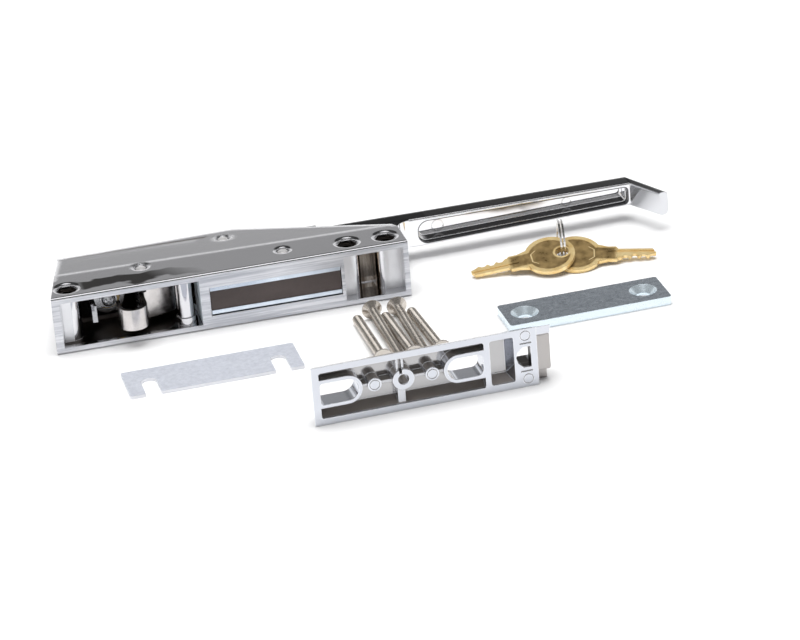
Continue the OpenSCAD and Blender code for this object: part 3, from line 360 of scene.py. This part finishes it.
def grip_chrome(name):
    """The handle: polished, with a painted dark reflection on top, a painted dark reflection line
    round the mouth of its hollow and painted shade on the tip's face.
    """
    s = Shader(name)
    color, cloud = clouded(s, rgb(0.90, 0.90, 0.92), rgb(0.84, 0.84, 0.86))

    # Distance from the mouth's outline, for the painted dark reflection line: a slot that tapers in
    # height and in corner radius. The line has no depth limit, so it is painted on the grip's back
    # face as well
    mouth_length = 105.5 * MM
    u = s.along(ALONG_GRIP, GRIP)
    z = s.size(s.along(UP, GRIP))
    tall = s.spread(u, 0.0, mouth_length, 5.65 * MM, 4.3 * MM)
    corner = s.spread(u, 0.0, mouth_length, 5.0 * MM, 2.0 * MM)
    from_middle = s.size(s.maths("SUBTRACT", u, mouth_length / 2))
    past_end = s.maths("SUBTRACT", from_middle, mouth_length / 2)
    across = s.maths("MAXIMUM", s.maths("ADD", past_end, corner), 0.0)
    above = s.maths("MAXIMUM", s.maths("ADD", s.maths("SUBTRACT", z, tall), corner), 0.0)
    reach = s.maths("SQRT", s.maths("ADD", s.both(across, across), s.both(above, above)))
    away = s.maths("SUBTRACT", reach, corner)
    mouth = s.both(s.before(away, 0.35, 0.6), s.past(away, -0.4, -0.1), s.past(u, -1, 0))

    # The tip's face: painted shade as a greyer tone, with a slightly less metallic finish
    tip = s.past(s.along(RIGHT), 279.6, 280.6)
    color = s.mix(tip, color, rgb(0.74, 0.75, 0.78))
    # Painted dark reflection on the top faces
    color = s.mix(s.facing(2, 1.0, 0.75, 0.93), color, rgb(0.20, 0.20, 0.205))
    # Painted dark reflection line round the mouth of the hollow
    color = s.mix(mouth, color, rgb(0.10, 0.10, 0.105))
    gloss = s.spread(cloud, 0.3, 0.7, 0.05, 0.08)
    return s.finish(color, gloss, s.peel(0.015, s.edges(0.7)), s.blend(tip, 1.0, 0.8))


def strike_chrome(name):
    """The strike: as cast and plated, with painted highlights on its edges, painted shade on the
    pocket floors, on the brown ledges, in creases and in the dark hollow, and a dull keeper darkened
    partly by painted shade.
    """
    s = Shader(name)
    color, cloud = clouded(s, rgb(0.68, 0.70, 0.755), rgb(0.61, 0.63, 0.68))
    depth = s.along(BEHIND_STRIKE, STRIKE)
    along = s.along(ALONG_STRIKE, STRIKE)
    height = s.along(UP, (0, 0, MID))
    tall = s.size(height)
    slot_height = s.size(s.maths("SUBTRACT", height, SLOT_UP))
    slot = s.both(s.before(slot_height, 5.3, 5.5),
        s.either(s.before(along, 22, 22.4), s.past(along, 59.6, 60)))
    # Masks for painted shade: up-facing ledges in the pockets, pocket floors set back from the front,
    # and the hollow behind the end pocket
    ledge = s.both(s.past(depth, 0.3, 1.0), s.facing(2, 1.0, 0.3, 0.7), s.before(along, 92, 93),
        s.before(tall, 11.3, 11.6), s.inverse(slot))
    floor = s.both(s.past(depth, 1.0, 1.6), s.facing(1, -1.0, 0.8, 0.9),
        s.before(along, 102, 102.4))
    hollow = s.both(s.past(depth, 0.5, 1.5), s.past(along, 92.2, 92.6), s.before(along, 101, 102),
        s.before(tall, 6.4, 6.6))
    # The keeper, set back past the strike's end: a duller as-cast finish, darkened partly by painted
    # shade
    keeper = s.both(s.past(along, 103.1, 103.3), s.past(depth, 2.0, 2.4))

    # Painted highlight on the edges, where the rounded normal turns from the true one, and painted
    # shade in creases, from ambient occlusion
    rounded = s.edges(0.6)
    turn = s.vector_maths("DOT_PRODUCT", rounded, s.true_normal())
    edge = s.spread(turn, 0.92, 0.995, 1.0, 0.0)
    shade = s.node("ShaderNodeAmbientOcclusion", samples=6)
    shade.inputs["Distance"].default_value = 2.2 * MM
    crease = s.spread(shade.outputs["AO"], 0.35, 0.8, 0.6, 0.0)

    # Tones: painted shade on the pocket floors and the brown ledges, painted highlight on the edges,
    # painted shade in creases and in the hollow, and a darker keeper
    for mask, tone in ((floor, rgb(0.46, 0.455, 0.46)), (ledge, rgb(0.32, 0.285, 0.26)),
            (edge, rgb(0.95, 0.96, 0.99)), (crease, rgb(0.10, 0.092, 0.086)),
            (hollow, rgb(0.035, 0.03, 0.028)), (keeper, rgb(0.46, 0.44, 0.43))):
        color = s.mix(mask, color, tone)
    dull = s.either(ledge, s.either(hollow, keeper))
    gloss = s.blend(dull, s.spread(cloud, 0.3, 0.7, 0.09, 0.15), 0.34)
    normal = s.bump(s.noise(600.0, 3.0), 0.05, 0.3, rounded)
    return s.finish(color, gloss, normal, s.blend(ledge, 1.0, 0.45))


def plated_steel(name, dark, light, rough, grain=180.0, stretch=(1, 1, 1), bump=0.06, edge=0.2,
        rim=None, metal=1.0):
    """Sheet or bar with a mottled plating, fine drawing marks and brighter cut edges."""
    s = Shader(name)
    mottle = s.noise(grain, 5.0, (1, 1, 1), 0.7)
    marks = s.noise(500.0, 3.0, stretch, 0.6)
    color = s.mix(s.spread(mottle, 0.3, 0.7), dark, light)
    if rim:
        level = s.size(s.lean(2))
        cut = s.spread(level, 0.8, 0.92, 1.0, 0.0)
        cone = s.both(s.spread(level, 0.3, 0.5), cut)
        color = s.mix(cut, color, rim)
        metal = s.blend(cone, metal, metal * 0.6)
    gloss = s.spread(marks, 0.3, 0.7, rough * 0.8, rough * 1.3)
    return s.finish(color, gloss, s.bump(marks, bump, 0.3, s.edges(edge)), metal)


def ferrite(name):
    s = Shader(name)
    grain = s.noise(900.0, 4.0, (1, 1, 1), 0.7)
    patchy_tone = s.noise(60.0, 3.0, (0.3, 1, 1))
    color = s.mix(s.spread(patchy_tone, 0.35, 0.7), rgb(0.050, 0.036, 0.033), rgb(0.085, 0.062, 0.058))
    normal = s.bump(grain, 0.25, 0.2, s.edges(0.2))
    return s.finish(color, s.spread(grain, 0.3, 0.7, 0.38, 0.6), normal, 0.0)


def turned(yaw, pitch, roll):
    """Axes x and y of a piece after its three turns, in degrees."""
    turn = Matrix.Rotation(math.radians(yaw), 3, "Z") @ Matrix.Rotation(math.radians(pitch), 3, "Y")
    turn = turn @ Matrix.Rotation(math.radians(roll), 3, "X")
    return tuple(turn.col[0]), tuple(turn.col[1])


def key_brass(name, hole, axis_x, axis_y):
    """Brass with bright raised rims, a darker stained field and a struck line at the neck."""
    s = Shader(name)
    cloud = s.noise(240.0, 4.0)
    u = s.along(axis_x, hole)
    v = s.size(s.along(axis_y, hole))
    bow = tuple(h + 6.0 * MM * a for h, a in zip(hole, axis_x))
    round_hole = s.before(s.from_point(hole), 4.3, 4.5)
    field = s.both(s.before(s.from_point(bow), 9.9, 10.2), s.inverse(round_hole))
    neck = s.both(s.past(u, 14.2, 14.6), s.before(u, 24, 26), s.before(v, 3.6, 4.2))
    dark = s.either(field, neck)
    bent = s.maths("ADD", u, s.spread(v, 2.6 * MM, 4.6 * MM, 0.0, 2.4 * MM))
    line = s.size(s.maths("SUBTRACT", bent, 14.6 * MM))
    struck = s.both(s.before(line, 0.2, 0.4), s.before(v, 4.6, 4.8))
    bright = s.mix(s.spread(cloud, 0.3, 0.7), rgb(0.88, 0.62, 0.26), rgb(1.0, 0.80, 0.43))
    dull = s.mix(s.spread(cloud, 0.35, 0.65), rgb(0.21, 0.14, 0.055), rgb(0.40, 0.275, 0.115))
    color = s.mix(struck, s.mix(dark, bright, dull), rgb(0.98, 0.78, 0.42))
    gloss = s.blend(dark, 0.2, s.spread(cloud, 0.3, 0.7, 0.26, 0.4))
    normal = s.bump(struck, 0.6, 0.2, s.edges(0.15))
    normal = s.bump(s.noise(700.0, 3.0), 0.08, 0.2, normal)
    return s.finish(color, gloss, normal, 0.5)


def paper_floor(name):
    s = Shader(name)
    tint = s.mix(s.noise(3.0, 2.0), rgb(0.93, 0.93, 0.935), rgb(0.95, 0.95, 0.95))
    flat = s.node("ShaderNodeNewGeometry").outputs["Normal"]
    s.surface.inputs["Specular IOR Level"].default_value = 0.0
    return s.finish(tint, 0.9, flat, 0.0)


def dress(material, *names):
    for name in names:
        node = NODES[name]
        node.data.materials.clear()
        node.data.materials.append(material)


dress(housing_chrome("housing_chrome"), "housing")
dress(grip_chrome("handle_chrome"), "handle")
dress(strike_chrome("strike_chrome"), "strike")
dress(barrel_chrome("barrel_chrome"), "lock_barrel")
dress(plated_steel("ring_plate", rgb(0.62, 0.61, 0.60), rgb(0.82, 0.81, 0.80), 0.14), "key_ring")
dress(plated_steel("pin_steel", rgb(0.55, 0.54, 0.54), rgb(0.70, 0.69, 0.69), 0.34, grain=260.0,
    bump=0.15, metal=0.4), "handle_pin", "catch_pin", "magnet_pin")
dress(plated_steel("catch_nickel", rgb(0.52, 0.50, 0.49), rgb(0.70, 0.67, 0.66), 0.2), "latch_catch")
dress(plated_steel("spring_wire", rgb(0.16, 0.16, 0.165), rgb(0.26, 0.26, 0.27), 0.3), "catch_spring")
dress(ferrite("ferrite"), "magnet")
dress(plated_steel("pole_zinc", rgb(0.56, 0.63, 0.72), rgb(0.72, 0.79, 0.87), 0.3, grain=90.0,
    stretch=(0.08, 1, 1)), "upper_pole_plate", "lower_pole_plate")
dress(plated_steel("plug_brass", rgb(0.30, 0.22, 0.11), rgb(0.42, 0.32, 0.17), 0.3), "lock_plug")
dress(plated_steel("cam_zinc", rgb(0.34, 0.34, 0.36), rgb(0.52, 0.53, 0.55), 0.24),
    "lock_cam", "cam_washer", "cam_screw")
dress(plated_steel("clip_steel", rgb(0.08, 0.08, 0.085), rgb(0.14, 0.14, 0.15), 0.35), "lock_clip")
dress(plated_steel("plate_zinc", rgb(0.33, 0.375, 0.43), rgb(0.58, 0.635, 0.70), 0.24, grain=520.0,
    stretch=(0.5, 1, 1), bump=0.05, edge=0.5, rim=rgb(0.74, 0.83, 0.89)), "armature_plate")
dress(plated_steel("shim_aluminium", rgb(0.54, 0.565, 0.63), rgb(0.69, 0.715, 0.785), 0.5, grain=420.0,
    stretch=(0.4, 1, 1), bump=0.04, edge=0.15, rim=rgb(0.85, 0.86, 0.9), metal=0.2), "shim")
for key, key_hole, key_turns in KEYS:
    dress(key_brass(key + "_brass", tuple(v * MM for v in key_hole), *turned(*key_turns)), key)


# Screws, with a cut thread and a cross recess, in millimetres. Places and length equal part.scad.

SCREW_PLACES = ((139.0, -69.2, 1.3), (145.7, -17.1, 182.4), (153.2, -70.9, 2.6),
    (157.4, -17.8, 182.1), (166.1, -70.5, 3.1))
SCREW_LENGTH = 50.8
HEAD_RADIUS = 4.8
HEAD_HEIGHT = 2.8
HEAD_RIM = 0.5
CREST = 2.4
ROOT = 1.98
THREAD_PITCH = 1.06
TIP_TAPER, TIP_LENGTH = 0.7, 1.0
TIP_REST, TIP_REST_RADIUS = 1.5, 2.415
SCREW_SIDES = 24
HEAD_ROWS = ((HEAD_RADIUS - 0.2, 0.0), (HEAD_RADIUS - 0.05, 0.07), (HEAD_RADIUS, 0.25),
    (HEAD_RADIUS, HEAD_RIM), (ROOT, HEAD_HEIGHT))
# Width, thickness and height of a recess wing, outside the head and at its bottom
WING_OUTSIDE = (4.8, 1.15, -1.0)
WING_BOTTOM = (2.4, 0.9, 1.9)


def screw_ring(bm, radius, height, rise=0.0, low=0.0):
    """Points round the screw's axis, climbing by a rise, kept between low and the tip."""
    points = []
    for i in range(SCREW_SIDES):
        angle = 2 * math.pi * i / SCREW_SIDES
        z = min(max(height + rise * i / SCREW_SIDES, low), SCREW_LENGTH)
        r = radius
        if z > HEAD_HEIGHT:
            r = min(radius, CREST - TIP_TAPER * max(0.0, z - (SCREW_LENGTH - TIP_LENGTH)))
        points.append(bm.verts.new((r * math.cos(angle) * MM, r * math.sin(angle) * MM, z * MM)))
    return points


def screw_shape():
    """One screw along +Z, its head's face at the origin, as a closed mesh."""
    bm = bmesh.new()
    rows = [screw_ring(bm, radius, height) for radius, height in HEAD_ROWS]
    for row, below in zip(rows[1:], rows[:-1]):
        for i in range(SCREW_SIDES):
            j = (i + 1) % SCREW_SIDES
            bm.faces.new((below[i], below[j], row[j], row[i]))
    turns = []
    count = int((SCREW_LENGTH - HEAD_HEIGHT) / THREAD_PITCH) + 2
    for k in range(-2, 2 * count):
        radius = CREST if k % 2 == 0 else ROOT
        start = HEAD_HEIGHT + k * THREAD_PITCH / 2
        turns.append(screw_ring(bm, radius, start, THREAD_PITCH, HEAD_HEIGHT))
    for k in range(len(turns) - 1):
        for i in range(SCREW_SIDES):
            if i < SCREW_SIDES - 1:
                corner = (turns[k][i], turns[k][i + 1], turns[k + 1][i + 1], turns[k + 1][i])
            elif k + 3 < len(turns):
                corner = (turns[k][i], turns[k + 2][0], turns[k + 3][0], turns[k + 1][i])
            else:
                continue
            bm.faces.new(corner)
    bmesh.ops.remove_doubles(bm, verts=bm.verts, dist=0.01 * MM)
    bmesh.ops.dissolve_degenerate(bm, dist=0.005 * MM, edges=bm.edges)
    bmesh.ops.holes_fill(bm, edges=[e for e in bm.edges if e.is_boundary], sides=0)
    bmesh.ops.recalc_face_normals(bm, faces=bm.faces)
    mesh = bpy.data.meshes.new("screw")
    bm.to_mesh(mesh)
    bm.free()
    return mesh


def recess_shape():
    """Cross recess with four tapered wings."""
    bm = bmesh.new()
    for turn in (0.0, math.pi / 2):
        made = bmesh.ops.create_cube(bm, size=1.0)["verts"]
        for v in made:
            width, thickness, height = WING_BOTTOM if v.co.z > 0 else WING_OUTSIDE
            v.co.x *= width * MM
            v.co.y *= thickness * MM
            v.co.z = height * MM
        bmesh.ops.rotate(bm, verts=made, matrix=Matrix.Rotation(turn, 3, "Z"))
    mesh = bpy.data.meshes.new("recess")
    bm.to_mesh(mesh)
    bm.free()
    return mesh


def cut_shape(mesh, cutter):
    """The mesh with the cutter taken away, as a new mesh."""
    body = add_object("body", mesh)
    tool = add_object("tool", cutter)
    step = body.modifiers.new("cut", "BOOLEAN")
    step.operation = "DIFFERENCE"
    step.solver = "EXACT"
    step.use_self = True
    step.object = tool
    graph = bpy.context.evaluated_depsgraph_get()
    made = bpy.data.meshes.new_from_object(body.evaluated_get(graph))
    for each in (body, tool):
        bpy.data.objects.remove(each)
    return made


def add_screws():
    """Five screws lying on the table, each on its head's rim and its tip."""
    shape = cut_shape(screw_shape(), recess_shape())
    drop = math.asin((HEAD_RADIUS - TIP_REST_RADIUS) / (SCREW_LENGTH - TIP_REST))
    lying = Matrix.Rotation(-math.pi / 2 - drop, 4, "X") @ Matrix.Translation((0, 0, -HEAD_RIM * MM))
    rim_height = HEAD_RADIUS * math.cos(drop) * MM
    bm = bmesh.new()
    for x, y, yaw in SCREW_PLACES:
        place = Matrix.Translation((x * MM - HOLE_X, y * MM - HOLE_Y, rim_height))
        one = shape.copy()
        one.transform(place @ Matrix.Rotation(math.radians(yaw), 4, "Z") @ lying)
        bm.from_mesh(one)
        bpy.data.meshes.remove(one)
    mesh = bpy.data.meshes.new("threaded_screws")
    bm.to_mesh(mesh)
    bm.free()
    screws = add_object("threaded_screws", mesh)
    mesh.materials.append(plated_steel("screw_nickel", rgb(0.58, 0.525, 0.47), rgb(0.76, 0.71, 0.65),
        0.22, grain=90.0, metal=0.8))
    for face in mesh.polygons:
        face.use_smooth = False
    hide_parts("mounting_screws")
    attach(screws, "root")


add_screws()


# Studio: a white table, one large soft light from above, and a grey and white room

TABLE_HALF = 6.0
SKY_STRENGTH = 1.6
# Sine of the elevation and the grey of the room there
SKY = ((0.0, 0.62), (0.13, 0.60), (0.17, 0.25), (0.225, 0.25), (0.255, 0.62), (0.365, 0.62),
    (0.395, 0.225), (0.475, 0.22), (0.52, 0.03), (0.80, 0.035), (0.91, 0.06), (0.96, 0.9), (1.0, 1.0))


def add_floor():
    low = min(CAD_BOX[0][2], 0.0)
    half = TABLE_HALF
    mesh = bpy.data.meshes.new("table")
    mesh.from_pydata([(-half, -half, low), (half, -half, low), (half, half, low), (-half, half, low)],
        [], [(0, 1, 2, 3)])
    floor = add_object("table", mesh)
    floor.data.materials.append(paper_floor("paper"))


def add_light(name, place, aim, size, power):
    data = bpy.data.lights.new(name, "AREA")
    data.shape = "RECTANGLE"
    data.size, data.size_y = size
    data.energy = power
    light = add_object(name, data)
    light.location = place
    light.rotation_mode = "QUATERNION"
    light.rotation_quaternion = (Vector(aim) - Vector(place)).to_track_quat("-Z", "Y")
    light.visible_glossy = False


def add_world():
    world = bpy.data.worlds.new("studio")
    bpy.context.scene.world = world
    world.use_nodes = True
    tree = world.node_tree
    tree.nodes.clear()
    out = tree.nodes.new("ShaderNodeOutputWorld")
    sky = tree.nodes.new("ShaderNodeBackground")
    coords = tree.nodes.new("ShaderNodeTexCoord")
    split = tree.nodes.new("ShaderNodeSeparateXYZ")
    ramp = tree.nodes.new("ShaderNodeValToRGB")
    tree.links.new(coords.outputs["Generated"], split.inputs["Vector"])
    tree.links.new(split.outputs["Z"], ramp.inputs["Fac"])
    tree.links.new(ramp.outputs["Color"], sky.inputs["Color"])
    tree.links.new(sky.outputs["Background"], out.inputs["Surface"])
    sky.inputs["Strength"].default_value = SKY_STRENGTH
    stops = ramp.color_ramp.elements
    for stop, (place, value) in zip(stops, (SKY[0], SKY[-1])):
        stop.position = place
        stop.color = grey(value)
    for place, value in SKY[1:-1]:
        stops.new(place).color = grey(value)


add_camera()
add_floor()
add_world()
add_light("overhead", (0.1, 0.1, 1.6), (0.12, 0.0, 0.0), (1.6, 1.2), 30.0)

scene = bpy.context.scene
scene.view_settings.view_transform = "Standard"
scene.view_settings.look = "None"
scene.view_settings.exposure = 0.0
scene.view_settings.gamma = 1.0
